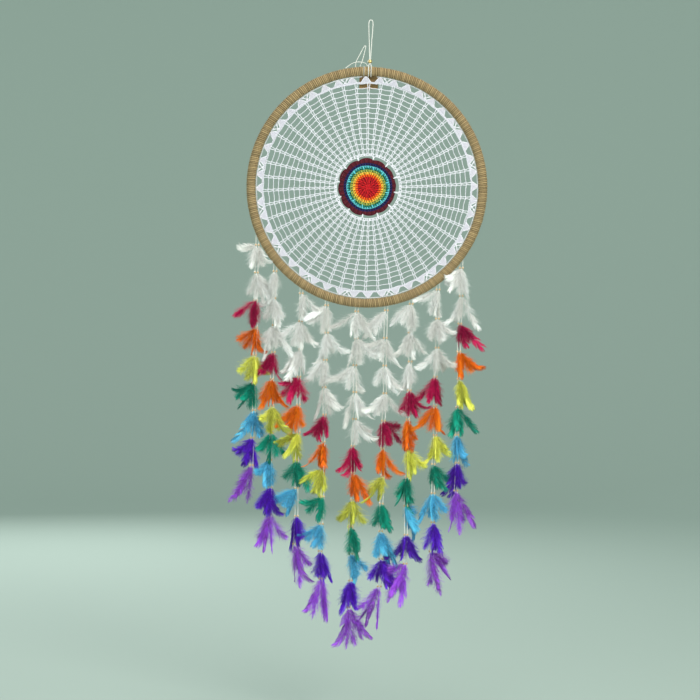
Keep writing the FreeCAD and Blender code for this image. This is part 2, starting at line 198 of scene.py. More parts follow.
def add_tubes(mesh, paths, radii, sides=4, ref=(0.0, 1.0, 0.0), flat=1.0, closed=False,
              slot=0, ply=0.0, turns=None):
    """Round or flattened tubes along paths of equal point count, with closed ends.

    flat squeezes them along ref; ply gives a two-lobed section that turns with turns."""
    p = np.asarray(paths, float)
    if p.ndim == 2:
        p = p[None]
    n, k, _ = p.shape
    t = np.roll(p, -1, 1) - np.roll(p, 1, 1) if closed else np.gradient(p, axis=1)
    t = unit(t)
    across = unit(np.cross(t, np.broadcast_to(np.asarray(ref, float), p.shape)))
    up = np.cross(across, t)
    r = np.broadcast_to(np.asarray(radii, float), (n, k))[..., None]
    phi = 2 * math.pi * (np.arange(sides) + 0.5) / sides
    if ply:
        r = r * (1 + ply * np.cos(2 * (phi[None, None, :] - turns[..., None])))
    ring = (p[:, :, None, :]
            + (r * np.cos(phi))[..., None] * across[:, :, None, :]
            + (r * np.sin(phi))[..., None] * flat * up[:, :, None, :])
    start = (np.arange(n) * k * sides)[:, None, None]
    rows = k if closed else k - 1
    j = np.arange(rows)[None, :, None]
    m = np.arange(sides)[None, None, :]
    here = start + j * sides + m
    right = start + j * sides + (m + 1) % sides
    ahead = start + ((j + 1) % k) * sides + (m + 1) % sides
    left = start + ((j + 1) % k) * sides + m
    quads = np.stack([here, right, ahead, left], -1).reshape(-1, 4)
    slot = np.broadcast_to(np.asarray(slot), (n,))
    faces = [quads]
    marks = [np.repeat(slot, rows * sides)]
    if not closed:
        first = (np.arange(n) * k * sides)[:, None] + np.arange(sides)[None, ::-1]
        last = ((np.arange(n) + 1) * k * sides - sides)[:, None] + np.arange(sides)[None, :]
        faces += [first, last]
        marks += [slot, slot]
    mesh.add(ring, faces, marks)


def spaced(path, step, closed=False):
    """The path again, with points at an even step."""
    p = np.asarray(path, float)
    if closed:
        p = np.vstack([p, p[:1]])
    run = np.concatenate([[0], np.cumsum(np.linalg.norm(np.diff(p, axis=0), axis=1))])
    count = max(4, int(round(run[-1] / step)))
    at = np.linspace(0, run[-1], count + 1)
    if closed:
        at = at[:-1]
    return np.stack([np.interp(at, run, p[:, i]) for i in range(3)], -1), run[-1]


def add_rope(mesh, path, thick, twist, closed=False, per_turn=5, sides=4):
    """Two threads twisted round each other along a path that lies near the XZ plane."""
    p, length = spaced(path, twist / per_turn, closed)
    t = unit(np.roll(p, -1, 0) - np.roll(p, 1, 0)) if closed else unit(np.gradient(p, axis=0))
    across = unit(np.cross(t, (0.0, 1.0, 0.0)))
    up = np.cross(across, t)
    whole = round(length / twist)
    angle = 2 * math.pi * whole * np.arange(len(p)) / (len(p) if closed else len(p) - 1)
    paths = []
    for start in (0, math.pi):
        a = (angle + start)[:, None]
        paths.append(p + thick * 0.26 * (np.cos(a) * across + np.sin(a) * up))
    add_tubes(mesh, np.array(paths), thick * 0.29, sides, closed=closed)


def add_blobs(mesh, centres, sizes, sides=6):
    """Small rounded lumps, sizes given as half lengths along X, Y, Z."""
    centres = np.asarray(centres, float)
    sizes = np.broadcast_to(np.asarray(sizes, float), centres.shape)
    k = 5
    lat = np.linspace(-0.47 * math.pi, 0.47 * math.pi, k)
    phi = 2 * math.pi * np.arange(sides) / sides
    shape = np.stack([np.cos(lat)[:, None] * np.cos(phi),
                      np.cos(lat)[:, None] * np.sin(phi),
                      np.sin(lat)[:, None] * np.ones(sides)], -1)
    points = centres[:, None, None, :] + shape[None] * sizes[:, None, None, :]
    n = len(centres)
    start = (np.arange(n) * k * sides)[:, None, None]
    j = np.arange(k - 1)[None, :, None]
    m = np.arange(sides)[None, None, :]
    quads = np.stack([start + j * sides + m, start + j * sides + (m + 1) % sides,
                      start + (j + 1) * sides + (m + 1) % sides, start + (j + 1) * sides + m],
                     -1).reshape(-1, 4)
    first = (np.arange(n) * k * sides)[:, None] + np.arange(sides)[None, ::-1]
    last = ((np.arange(n) + 1) * k * sides - sides)[:, None] + np.arange(sides)[None, :]
    mesh.add(points, [quads, first, last], [0, 0, 0])


# the hand-made web's middle sits a little to the right of the hoop's, less so towards its edge
OFF_CENTRE = 1.8
OFF_FROM, OFF_OVER = 185.0, 130.0


def flat_point(radius, angle, y=0.0):
    """A point of the web, from radius in millimetres and angle from +X."""
    aside = OFF_CENTRE * min(1.0, max(0.0, (OFF_FROM - radius) / OFF_OVER))
    return np.array([(radius * math.cos(angle) + aside) * MM, y * MM,
                     RING_Z + radius * MM * math.sin(angle)])


# ------------------------------------------------------------------ cords

def cord_curve(name, body, points, radius):
    """A round white cord: a NURBS curve with the route's points as its control points."""
    curve = bpy.data.curves.new(name, "CURVE")
    curve.dimensions = "3D"
    curve.bevel_depth = radius
    curve.bevel_resolution = 3
    curve.resolution_u = 8
    curve.use_fill_caps = True
    spline = curve.splines.new("NURBS")
    spline.points.add(len(points) - 1)
    for point, place in zip(spline.points, points):
        point.co = (*place, 1.0)
    spline.order_u = 3
    spline.use_endpoint_u = True
    curve.materials.append(CORD)
    obj = bpy.data.objects.new(name, curve)
    bpy.context.scene.collection.objects.link(obj)
    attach(obj, body)
    return obj


def hoop_point(x, y, up):
    """A point from millimetres right of, behind and above the hoop's centre."""
    return (x * MM, y * MM, RING_Z + up * MM)


HANG_R = 0.0007
BEAD_Z = -0.0713
IN_BEAD = 0.00076                 # half the distance between the legs inside the bead
loop_points = [(-IN_BEAD, 0, BEAD_Z), (-IN_BEAD - 0.0001, 0, BEAD_Z + 0.009),
               (-0.0037, 0, -0.0090), (-0.0036, 0, -0.0026), (-0.0020, 0, HANG_R),
               (0.0020, 0, HANG_R), (0.0036, 0, -0.0026), (0.0037, 0, -0.0090),
               (IN_BEAD + 0.0001, 0, BEAD_Z + 0.009), (IN_BEAD, 0, BEAD_Z)]
loop = cord_curve("hanging_loop", "hanger", loop_points, HANG_R)
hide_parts("hanger_loop")

TUBE_Z = RING_Z + RING_R
AROUND = WRAP_R + HANG_R + 0.00005
for number, side in enumerate((-1, 1), start=1):
    x = side * 0.0022
    points = [(side * IN_BEAD, 0, BEAD_Z), (side * (IN_BEAD + 0.00005), -0.0001, BEAD_Z - 0.0044),
              (x, -0.0052, TUBE_Z + 0.0096)]
    for degrees in (157.5, 202.5, 247.5, 292.5, 337.5, 382.5):
        corner = AROUND / math.cos(math.radians(22.5))
        angle = math.radians(degrees)
        points.append((x, corner * math.cos(angle), TUBE_Z + corner * math.sin(angle)))
    points.append((side * 0.0014, 0.0022, TUBE_Z + 0.0114))
    leg = cord_curve("hitch_leg_%d" % number, "hitch", points, HANG_R)
    if number == 1:
        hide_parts("hitch_cord")

spare_points = [hoop_point(-24.4, 6.2, 205.4), hoop_point(-26.3, 5.6, 216.0),
                hoop_point(-15.3, 3.2, 235.6), hoop_point(-10.6, 2.6, 246.5),
                hoop_point(-7.2, 2.2, 245.8), hoop_point(-9.9, 2.8, 235.7),
                hoop_point(-12.2, 4.2, 223.0), hoop_point(-18.6, 6.0, 206.0)]
SPARE_R, TAIL_R = 0.0006, 0.0005
spare = cord_curve("slack_loop", "hoop", spare_points, SPARE_R)
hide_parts("spare_loop")
tail_points = [hoop_point(-4.4, -2.6, 209.7), hoop_point(-5.6, -2.9, 214.2),
               hoop_point(-12.0, -3.2, 216.6), hoop_point(-20.8, -3.0, 217.2),
               hoop_point(-32.9, -2.4, 214.0), hoop_point(-42.3, -2.0, 205.4)]
tail = cord_curve("loose_end", "hoop", tail_points, TAIL_R)
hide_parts("tail_cord")

STRING_R = 0.0004
STRING_OUT = 8.4 + 0.4 + 0.1      # from the tube's centre to the string's, over the twine
string_points = [hoop_point(-10.0, 13.0, 199.6), hoop_point(-10.2, 9.6, 200.6)]
for degrees in (32.0, 75.0, 120.0, 165.0, 210.0, 255.0, 300.0, 338.0):
    corner = STRING_OUT / math.cos(math.radians(22.5))
    angle = math.radians(degrees)
    shift = 0.002 * (degrees - 185.0)
    string_points.append(hoop_point(-10.1 + shift, corner * math.cos(angle),
                                    201.6 - 0.25 + corner * math.sin(angle)))
string_points.append(hoop_point(-9.9, 13.0, 198.0))
string = cord_curve("tag_tie", "hoop", string_points, STRING_R)
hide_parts("tag_string")

# in millimetres: name, distance from the middle, beads' pitch, white tiers, length of each cord
STRANDS = [("strand_1", -188.0, 47.9, 2, 401.5), ("strand_2", -156.0, 46.9, 3, 440.5),
           ("strand_3", -109.5, 48.4, 3, 454.0), ("strand_4", -65.0, 47.5, 4, 493.4),
           ("strand_5", -12.5, 46.8, 5, 541.6), ("strand_6", 39.0, 48.0, 4, 498.4),
           ("strand_7", 82.0, 50.2, 3, 470.2), ("strand_8", 128.0, 50.6, 3, 473.8),
           ("strand_9", 167.5, 48.4, 2, 405.6)]
HOOP_Z, OUTER_R = -290.0, 210.0   # the hoop's centre and outside
CORD_R = 0.6
HALF = 2.5                        # half the distance between a strand's two cords
DROP = 1.5                        # lowest stub end below the wrap
FIRST_BEAD = 4.2                  # first bead below the top of the strand
TAIL = 14.0                       # cord below the last bead
LONG_TAIL = 1.6                   # the middle strand's, as a multiple of that
SWAY = 1.5                        # how far a strand strays to each side


def wrap_low(x):
    """Height of the wrapped hoop's lower outside at this x, in millimetres."""
    return HOOP_Z - math.sqrt(OUTER_R ** 2 - x * x)


tier_places = {}
for number, (name, x0, pitch, whites, cord_length) in enumerate(STRANDS, start=1):
    tiers = whites + len(DYED_ORDER)
    top = wrap_low(abs(x0) - HALF) - DROP - CORD_R
    beads_z = [top - FIRST_BEAD - tier * pitch for tier in range(tiers)]
    sway = [0.0] + [SWAY * math.sin(2.1 * tier + 1.3 * number) for tier in range(1, tiers)]
    tier_places[name] = [(x0 + sway[t], beads_z[t]) for t in range(tiers)]
    for side in (-1, 1):
        leg_x = x0 + side * HALF
        route = [(leg_x, 0, top)]
        for tier in range(1, tiers):
            route.append((leg_x + sway[tier], 0, beads_z[tier]))
        last_run = TAIL * (LONG_TAIL if name == "strand_5" else 1.0)
        route.append((leg_x + sway[-1] + 0.4 * side, 0, beads_z[-1] - last_run))
        route = [tuple(c * MM for c in point) for point in route]
        leg = cord_curve("%s_cord_%s" % (name, "left" if side < 0 else "right"), name, route,
                         CORD_R * MM)
    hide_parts(name + "_cords")


# ------------------------------------------------------------------ jute wrap

TURNS = 410                       # turns of twine round the hoop
TWINE_R = 0.00127                 # radius of the twine
TWINE_OUT = 0.00700               # its middle, from the cane's centre line
PLY_TWIST = 0.0095                # length of twine in one turn of its two plies
GROOVE_SHADOW_R = 0.0072                  # the dark layer seen between the turns: painted shadow in the grooves
FIBRES = 1500
FIBRES_OUT = 0.0082               # where they start, from the cane's centre line


def make_wrap():
    """Two-ply twine wound round the cane, a dark layer of painted shadow beneath it and loose fibres.
    """
    rng = np.random.default_rng(11)
    per_turn, sides = 24, 8
    count = TURNS * per_turn
    u = np.arange(count) / count
    psi = 2 * math.pi * u
    roll = 2 * math.pi * TURNS * u
    drift = 0.00022 * np.sin(37 * psi) + 0.00015 * np.sin(91 * psi + 1.0)
    wobble = np.interp(u, np.linspace(0, 1, 3 * TURNS), rng.normal(0, 1, 3 * TURNS))
    rho = TWINE_OUT + 0.00008 * wobble
    out = np.stack([np.cos(psi), np.zeros(count), np.sin(psi)], -1)
    along = np.stack([-np.sin(psi), np.zeros(count), np.cos(psi)], -1)
    path = (out * (RING_R + rho * np.cos(roll))[:, None]
            + np.array([0, 1.0, 0]) * (rho * np.sin(roll))[:, None]
            + along * drift[:, None])
    path[:, 2] += RING_Z
    length = np.concatenate([[0], np.cumsum(np.linalg.norm(np.diff(path, axis=0), axis=1))])
    whole = round(length[-1] / PLY_TWIST)
    ply_turns = 2 * math.pi * whole * u
    swell = np.interp(u, np.linspace(0, 1, 2 * TURNS), rng.normal(0, 1, 2 * TURNS))
    thick = TWINE_R + 0.00008 * swell
    mesh = Mesh()
    add_tubes(mesh, path, thick[None], sides, ref=along[None], closed=True, ply=0.07,
              turns=ply_turns[None])
    # each turn differs in shade from the one before it
    shade = np.cumsum(rng.integers(1, 3, TURNS)) % 3
    mesh.slots = [np.repeat(shade, per_turn * sides)]
    # a dark tube beneath the turns, seen in the grooves between them: painted shadow
    under = [(RING_R * math.cos(a), 0, RING_Z + RING_R * math.sin(a))
            for a in np.linspace(0, 2 * math.pi, 241)[:-1]]
    add_tubes(mesh, under, GROOVE_SHADOW_R, 16, closed=True, slot=3)
    wrap = mesh.make("twine_wrap", "hoop", JUTE + [JUTE_GROOVE_SHADOW], "jute")
    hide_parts("jute_wrap")
    # loose fibres
    n = FIBRES
    a = rng.uniform(0, 2 * math.pi, n)
    b = rng.uniform(0, 2 * math.pi, n)
    out = np.stack([np.cos(a), np.zeros(n), np.sin(a)], -1)
    along = np.stack([-np.sin(a), np.zeros(n), np.cos(a)], -1)
    normal = out * np.cos(b)[:, None] + np.array([0, 1.0, 0]) * np.sin(b)[:, None]
    around = -out * np.sin(b)[:, None] + np.array([0, 1.0, 0]) * np.cos(b)[:, None]
    base = out * RING_R + normal * FIBRES_OUT
    base[:, 2] += RING_Z
    reach = rng.uniform(0.002, 0.0055, n)[:, None, None]
    s = np.linspace(0, 1, 5)[None, :, None]
    lean = (around * rng.normal(0, 1, n)[:, None] + along * rng.normal(0, 0.5, n)[:, None])[:, None, :]
    rise = normal[:, None, :] * 0.75 * (s - 0.45 * s * s)
    hairs = base[:, None, :] + reach * (rise + lean * 0.55 * s * s)
    fibre = Mesh()
    add_tubes(fibre, hairs, np.linspace(0.00007, 0.00002, 5)[None], 3, ref=along[:, None, :])
    fibre.make("twine_fibres", "hoop", [JUTE[1]], "jute")


# ------------------------------------------------------------------ crocheted web

web_rng = np.random.default_rng(5)
JITTER_R = web_rng.normal(0, 0.28, (SPOKES, ROWS + 1))
JITTER_A = web_rng.normal(0, 0.25, (SPOKES, ROWS + 1))
MESH_IN, MESH_OUT = 58.4, 180.8
ROW = (MESH_OUT - MESH_IN) / ROWS


def web_node(s, i, side=0.0):
    """Middle of the pair of posts s on chain round i, moved sideways by side millimetres."""
    s = s % SPOKES
    share = i / ROWS
    ends = math.sin(math.pi * min(1.0, max(0.0, share)))
    angle = FIRST + s * PITCH
    radius = MESH_IN + i * ROW
    radius += ends * (1.2 * math.sin(3 * angle + 0.25 * i) + 0.8 * math.sin(7 * angle + 0.5 * i))
    radius += JITTER_R[s, i]
    shift = 0.32 * PITCH * share * math.sin(2 * angle + 0.6) * radius + JITTER_A[s, i] + side
    return flat_point(radius, angle + shift / radius, 0.25 * math.sin(5 * angle + i))


POST_HALF = 0.85                  # half the distance between a pair of posts at its lower end
POST_TURNS = 2.2                  # turns of the two threads in a post
THREAD_OFF = 0.00044              # from a post's centre line to each thread's
INNER_ROUNDS = 10                 # chain rounds and
INNER_ROWS = 7                    # rows of posts in the inner of the web's two meshes


def pair_half(i):
    """Half the distance between a pair of posts where it meets chain round i from inside."""
    return 1.75 + 0.65 * i / ROWS


def chain_round(i):
    """One round of chain stitches: straight spans between the pairs of posts."""
    half = pair_half(i) + 0.4
    points = []
    for s in range(SPOKES):
        a = web_node(s, i, -half)
        b = web_node(s, i, half)
        c = web_node(s + 1, i, -half)
        points += [a, b]
        centre = flat_point(0.0, 0.0)
        for share in (0.25, 0.5, 0.75):
            p = b + (c - b) * share
            sag = 4 * share * (1 - share) * (0.0006 + 0.0003 * math.sin(1.7 * s + i))
            points.append(p + (centre - p) / np.linalg.norm(centre - p) * sag)
    return points


def make_web():
    """The rounds of chain stitches, the twisted posts between them and the knots where they meet."""
    chains = [Mesh(), Mesh()]
    for i in range(ROWS + 1):
        add_rope(chains[0 if i < INNER_ROUNDS else 1], chain_round(i), 1.65 * MM, 3.3 * MM,
                 closed=True, per_turn=5, sides=4)
    posts = [Mesh(), Mesh()]
    for i in range(ROWS):
        lows, highs = [], []
        for s in range(SPOKES):
            for side in (-1, 1):
                low = web_node(s, i, side * POST_HALF)
                high = web_node(s, i + 1, side * pair_half(i))
                lows.append(low)
                highs.append(high)
        lows, highs = np.array(lows), np.array(highs)
        s = np.linspace(-0.04, 1.04, 9)[None, :, None]
        line = lows[:, None, :] + (highs - lows)[:, None, :] * s
        along = unit(highs - lows)[:, None, :]
        across = unit(np.cross(along, (0.0, 1.0, 0.0)))
        start = web_rng.uniform(0, 2 * math.pi, len(lows))[:, None, None]
        for strand in (0, math.pi):
            a = start + strand + s * 2 * math.pi * POST_TURNS
            path = line + THREAD_OFF * (np.cos(a) * across + np.sin(a) * np.array([0, 1.0, 0]))
            thick = 0.00055 + 0.00006 * np.sin(math.pi * np.clip(s[..., 0], 0, 1))
            thick = thick * np.ones((len(lows), 9))
            add_tubes(posts[i // INNER_ROWS], path, thick, 4)
    lumps = []
    for i in range(ROWS + 1):
        for s in range(SPOKES):
            for side in (-1, 1):
                lumps.append(web_node(s, i, side * 0.85 * pair_half(i)))
    add_blobs(posts[1], lumps, (0.00125, 0.00105, 0.00115), sides=6)
    main = chains[0].make("web_chains_inner", "hoop", [THREAD], "white_thread")
    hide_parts("web_net")
    chains[1].make("web_chains_outer", "hoop", [THREAD], "white_thread")
    posts[0].make("web_posts_inner", "hoop", [THREAD], "white_thread")
    posts[1].make("web_posts_outer", "hoop", [THREAD], "white_thread")


def straight(a, b, count=6):
    """Points from a to b at an even step."""
    s = np.linspace(0, 1, count)[:, None]
    return a + (b - a) * s


CENTRE_R = 54.5                   # chain round beside the coloured centre
JOINT_R = 54.6                    # where the joints to the petals start
BAR_HIGH = 182.6                  # tops of the solid row's bars
BAND_R = 183.0                    # chain round outside them
FAN_LOW, FAN_HIGH = 182.4, 192.1
FAN_HALF = 0.36                   # half a fan's foot, in pitches
PER_FAN = 10                      # stitches in a fan
TIP_R = 191.6                     # lumps at the fans' tips
LACE_R = 192.3


def make_edges():
    """The solid inner round, the joints to the coloured centre, the edge fans and their lacing."""
    rng = np.random.default_rng(8)
    inner = Mesh()
    ring = []
    for a in np.linspace(0, 2 * math.pi, 289)[:-1]:
        # drawn in a little at each join
        near = max(0.0, math.cos(PETALS * (a - PICOT))) ** 8
        ring.append(flat_point(CENTRE_R - 1.1 * near, a))
    add_rope(inner, ring, 1.5 * MM, 2.9 * MM, closed=True, sides=5)
    bars = []
    around = 2 * SPOKES + 24
    for j in range(around):
        a = 2 * math.pi * (j + 0.2 * rng.normal()) / around
        bars.append(straight(flat_point(54.3, a), flat_point(58.6, a + 0.012 * rng.normal())))
    add_tubes(inner, np.array(bars), 0.00112, 6, flat=0.85)
    for j in range(PETALS):
        middle = PICOT + j * 2 * math.pi / PETALS
        tip = valley_radius(middle) + 0.6
        for shift in (-1.3, 0.0, 1.3):
            a = flat_point(JOINT_R, middle + shift / JOINT_R)
            b = flat_point(tip + 0.3 * abs(shift), middle + shift * 0.25 / 48.2, -0.9)
            add_tubes(inner, straight(a, b), 0.00062, 6)
    inner.make("web_centre_round", "hoop", [THREAD], "white_thread")

    edge = Mesh()
    bars = []
    for s in range(SPOKES):
        left, right = web_node(s, ROWS), web_node(s + 1, ROWS)
        for j in range(8):
            share = (j + 0.5) / 8
            low = left + (right - left) * share
            angle = math.atan2(low[2] - RING_Z, low[0])
            high = flat_point(BAR_HIGH + rng.normal(0, 0.15), FIRST + (s + share) * PITCH)
            bars.append(straight(low, high))
    # the solid row's bars take slot 1, the greyer thread: painted shade
    add_tubes(edge, np.array(bars), 0.00108, 6, flat=0.8, slot=1)
    band = []
    for s in range(SPOKES):
        for share in (0.0, 0.25, 0.5, 0.75):
            radius = BAND_R - (0.7 if share == 0.5 else 0.0)
            band.append(flat_point(radius, FIRST + (s + share) * PITCH))
    add_rope(edge, band, 1.5 * MM, 3.0 * MM, closed=True, sides=5)
    fans = []
    fan_slots = []
    for s in range(SPOKES):
        middle = FIRST + s * PITCH
        for j in range(PER_FAN):
            share = -1 + 2 * j / (PER_FAN - 1)
            low = flat_point(FAN_LOW, middle + share * FAN_HALF * PITCH)
            high = flat_point(FAN_HIGH - 0.6 * share * share, middle + share * 2.4 / 191.0,
                              0.2 * rng.normal())
            fans.append(straight(low, high))
            # the two outer stitches of a fan stay white, the inner ones take the greyer thread as
            # painted shade
            fan_slots.append(0 if j in (0, PER_FAN - 1) else 1)
        if s % 3 == 1:
            # threads crossed between two tips
            gap = middle + PITCH / 2
            for lean in (-1, 1):
                for step in (0.0, 0.10):
                    low = flat_point(182.8, gap - lean * (0.06 + step) * PITCH, 0.3 * lean)
                    high = flat_point(192.3, gap + lean * (0.20 + step) * PITCH, 0.3 * lean)
                    fans.append(straight(low, high))
                    fan_slots.append(0)
    add_tubes(edge, np.array(fans), 0.00086, 6, flat=0.8, slot=fan_slots)
    tips = [flat_point(TIP_R, FIRST + s * PITCH) for s in range(SPOKES)]
    add_blobs(edge, tips, (0.0019, 0.0011, 0.0019))
    edge.make("web_edge_fans", "hoop", [THREAD, THREAD_PAINTED_SHADE], "white_thread")

    lace = Mesh()
    line = []
    start = 13.0 / 192.4          # it begins and ends beside the hanging cord
    for a in np.linspace(math.pi / 2 + start, math.pi / 2 + 2 * math.pi - start, 400):
        phase = (a - FIRST) / PITCH
        radius = LACE_R + 0.25 * math.cos(2 * math.pi * phase)
        line.append(flat_point(radius, a))
    add_rope(lace, line, 1.3 * MM, 3.0 * MM, sides=5)
    lacing = lace.make("edge_lacing", "hoop", [THREAD], "white_thread")
    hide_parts("lacing_thread")


# ------------------------------------------------------------------ coloured centre

YARNS = {
    "red": (0.43, 0.006, 0.010),
    "orange": (0.80, 0.10, 0.006),
    "yellow": (0.76, 0.43, 0.045),
    "lime": (0.29, 0.36, 0.07),
    "teal": (0.006, 0.17, 0.115),
    "aqua": (0.10, 0.46, 0.52),
    "navy": (0.014, 0.014, 0.085),
    "maroon": (0.090, 0.006, 0.015),
}


def round_point(radius, angle, y=0.0):
    """A point of the coloured rounds, which are worked a little unevenly."""
    uneven = min(1.0, radius / 12.0) * min(1.0, max(0.0, (50.0 - radius) / 10.0))
    wave = 0.40 * math.sin(3 * angle + 0.8) + 0.30 * math.sin(5 * angle + 0.11 * radius)
    return flat_point(radius + uneven * wave, angle, y)


def circle(radius, y=0.0):
    return [round_point(radius, a, y) for a in np.linspace(0, 2 * math.pi, 97)[:-1]]


def stitch_round(mesh, low, high, count, thick, offset=0.0):
    """A round of upright stitches over a flat backing darkened as painted shadow, with the braid of
    their tops.
    """
    rng = np.random.default_rng(int(low * 10))
    if low > 2:
        # the backing takes slot 3, the darkened gap colour: painted shadow between the stitches
        add_tubes(mesh, circle((low + high) / 2), (high - low) / 2 * MM, 8, flat=0.7 / (high - low),
                  closed=True, slot=3)
    bars = []
    for j in range(count):
        a = 2 * math.pi * (j + offset + 0.08 * rng.normal()) / count
        lean = 0.35 * 2 * math.pi / count
        top = high - 0.3 + 0.25 * rng.normal()
        bars.append(straight(round_point(low, a), round_point(top, a + lean), 6))
    swell = thick * MM * (0.52 + 0.34 * np.sin(np.linspace(0.15, math.pi - 0.1, 6)))
    add_tubes(mesh, np.array(bars), swell[None], 7, slot=np.arange(count) % 2)
    for y in (-0.55, 0.55):
        add_rope(mesh, circle(high - 0.75, y), 1.3 * MM, 3.4 * MM, closed=True, sides=5)


VALLEY = 2.6                      # depth of the dips between the petals
ROUNDING = 2.2                    # power of a petal's fall to both sides


def petal_reach(angle):
    """Outer radius of the maroon petals, a little fuller on the left."""
    return 49.7 + 1.8 * math.cos(angle - math.radians(175)) + 0.4 * math.sin(5 * angle)


def valley_radius(angle):
    """Radius of the dip between two petals."""
    return petal_reach(angle) - VALLEY


def make_rosette():
    """Seven rounds of upright stitches and the round of petals."""
    yarn = {name: shades("yarn_" + name, colour, 0.34, rough=0.85, bump=0.6, bump_scale=1800)
            for name, colour in YARNS.items()}
    for name, colour in YARNS.items():
        # what shows between the stitches, darkened: painted shadow
        yarn[name].append(material("yarn_%s_gap" % name, [0.32 * part for part in colour], rough=0.95))
    # inner and outer radius, number of stitches and their width, for each row of a round
    rounds = [("red", [(1.2, 6.6, 8, 1.9), (6.0, 12.8, 15, 1.85), (12.2, 18.6, 24, 1.8)]),
              ("orange", [(18.3, 22.8, 30, 1.6)]),
              ("yellow", [(22.5, 27.1, 36, 1.55)]),
              ("lime", [(26.9, 31.4, 42, 1.5)]),
              ("teal", [(31.1, 34.4, 46, 1.35)]),
              ("aqua", [(34.2, 37.9, 52, 1.35)]),
              ("navy", [(37.6, 42.5, 56, 1.45)])]
    for colour, rings in rounds:
        mesh = Mesh()
        for ring in rings:
            stitch_round(mesh, *ring)
        if colour == "red":
            add_blobs(mesh, [flat_point(0, 0)] * 2,
                      [(0.0022, 0.0016, 0.0022), (0.0058, 0.0007, 0.0058)], sides=16)
        if colour == "aqua":
            # long stitches that reach in over the teal round
            bars = [straight(round_point(31.2, a, -1.5), round_point(37.0, a + 0.02, -1.4))
                    for a in math.radians(14) + np.arange(PETALS) * 2 * math.pi / PETALS]
            add_tubes(mesh, np.array(bars), 0.0010, 6, slot=1)
        obj = mesh.make("centre_" + colour, "hoop", yarn[colour], "yarn_" + colour)
        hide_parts("rosette_" + colour)

    petals = Mesh()
    bars = []
    rim = []
    rim_shadow_line = []
    for j in range(PETALS):
        middle = PICOT + (j + 0.5) * 2 * math.pi / PETALS
        reach = petal_reach(middle)
        for step in np.linspace(-1, 1, 9):
            low = flat_point(42.4, middle + step * 0.232)
            high = flat_point(reach - 0.5 - 2.0 * abs(step) ** ROUNDING, middle + step * 0.226)
            bars.append(straight(low, high, 6))
        for step in np.linspace(-1, 1, 31)[:-1]:
            angle = middle + step * math.pi / PETALS
            fall = VALLEY * abs(step) ** ROUNDING
            rim.append(flat_point(reach - fall, angle))
            rim_shadow_line.append(flat_point(reach - 1.7 - fall, angle))
    for radius in (43.8, 46.2):
        add_tubes(petals, circle(radius), 0.0022, 8, flat=0.3, closed=True, slot=2)
    add_tubes(petals, np.array(bars), np.array([1.15, 1.25, 1.3, 1.3, 1.25, 1.1])[None] * MM, 7,
              slot=np.arange(len(bars)) % 3)
    add_rope(petals, rim, 1.7 * MM, 2.8 * MM, closed=True, sides=5)
    # a dark line just inside each petal's rim, in the dark shade: painted shadow
    add_tubes(petals, rim_shadow_line, 0.0011, 6, flat=0.7, closed=True, slot=2)
    obj = petals.make("centre_maroon", "hoop", yarn["maroon"], "yarn_maroon")
    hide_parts("rosette_maroon")


# ------------------------------------------------------------------ feathers

QUILL_POINTS = 22
CURL_POWER = 2.4                  # a feather's curl grows towards its tip


class Quill:
    """The curved shaft of a feather with its own left-right and face directions."""

    def __init__(self, rng, base, azimuth, lean, curl, length, roll):
        self.t = np.linspace(0, 1, QUILL_POINTS)
        angle = lean + curl * self.t ** CURL_POWER + rng.normal(0, 0.10) * np.sin(math.pi * self.t)
        out = np.array([math.cos(azimuth), math.sin(azimuth), 0.0])
        level = np.array([-math.sin(azimuth), math.cos(azimuth), 0.0])
        heading = np.sin(angle)[:, None] * out - np.cos(angle)[:, None] * np.array([0, 0, 1.0])
        self.heading = unit(heading + (rng.normal(0, 0.08) * self.t)[:, None] * level)
        steps = (self.heading[1:] + self.heading[:-1]) / 2 * length / (QUILL_POINTS - 1)
        self.shaft = base + np.concatenate([np.zeros((1, 3)), np.cumsum(steps, 0)])
        inward = unit(np.cross(self.heading, level))
        turn = roll + rng.normal(0, 0.4) * self.t
        side = np.cos(turn)[:, None] * level + np.sin(turn)[:, None] * inward
        self.face = unit(np.cross(self.heading, side))
        self.side = np.cross(self.face, self.heading)

    def at(self, share):
        return [np.stack([np.interp(share, self.t, values[:, i]) for i in range(3)], -1)
                for values in (self.shaft, self.heading, self.side, self.face)]


DEPTH = 0.019                     # how far plumage reaches to front and back


def soften(points):
    """Keeps the plumage within about two centimetres of the strands' plane."""
    points[..., 1] = DEPTH * np.tanh(points[..., 1] / DEPTH)
    return points


def barb_paths(root, head, outward, bend, size):
    """Curved barbs from root, opening from head towards outward by bend at each point."""
    step = head[:, None, :] * np.cos(bend)[..., None] + outward[:, None, :] * np.sin(bend)[..., None]
    path = np.concatenate([np.zeros((len(root), 1, 3)), np.cumsum(step[:, 1:], 1)], 1)
    return root[:, None, :] + path * size[:, None, None] / (bend.shape[1] - 1)


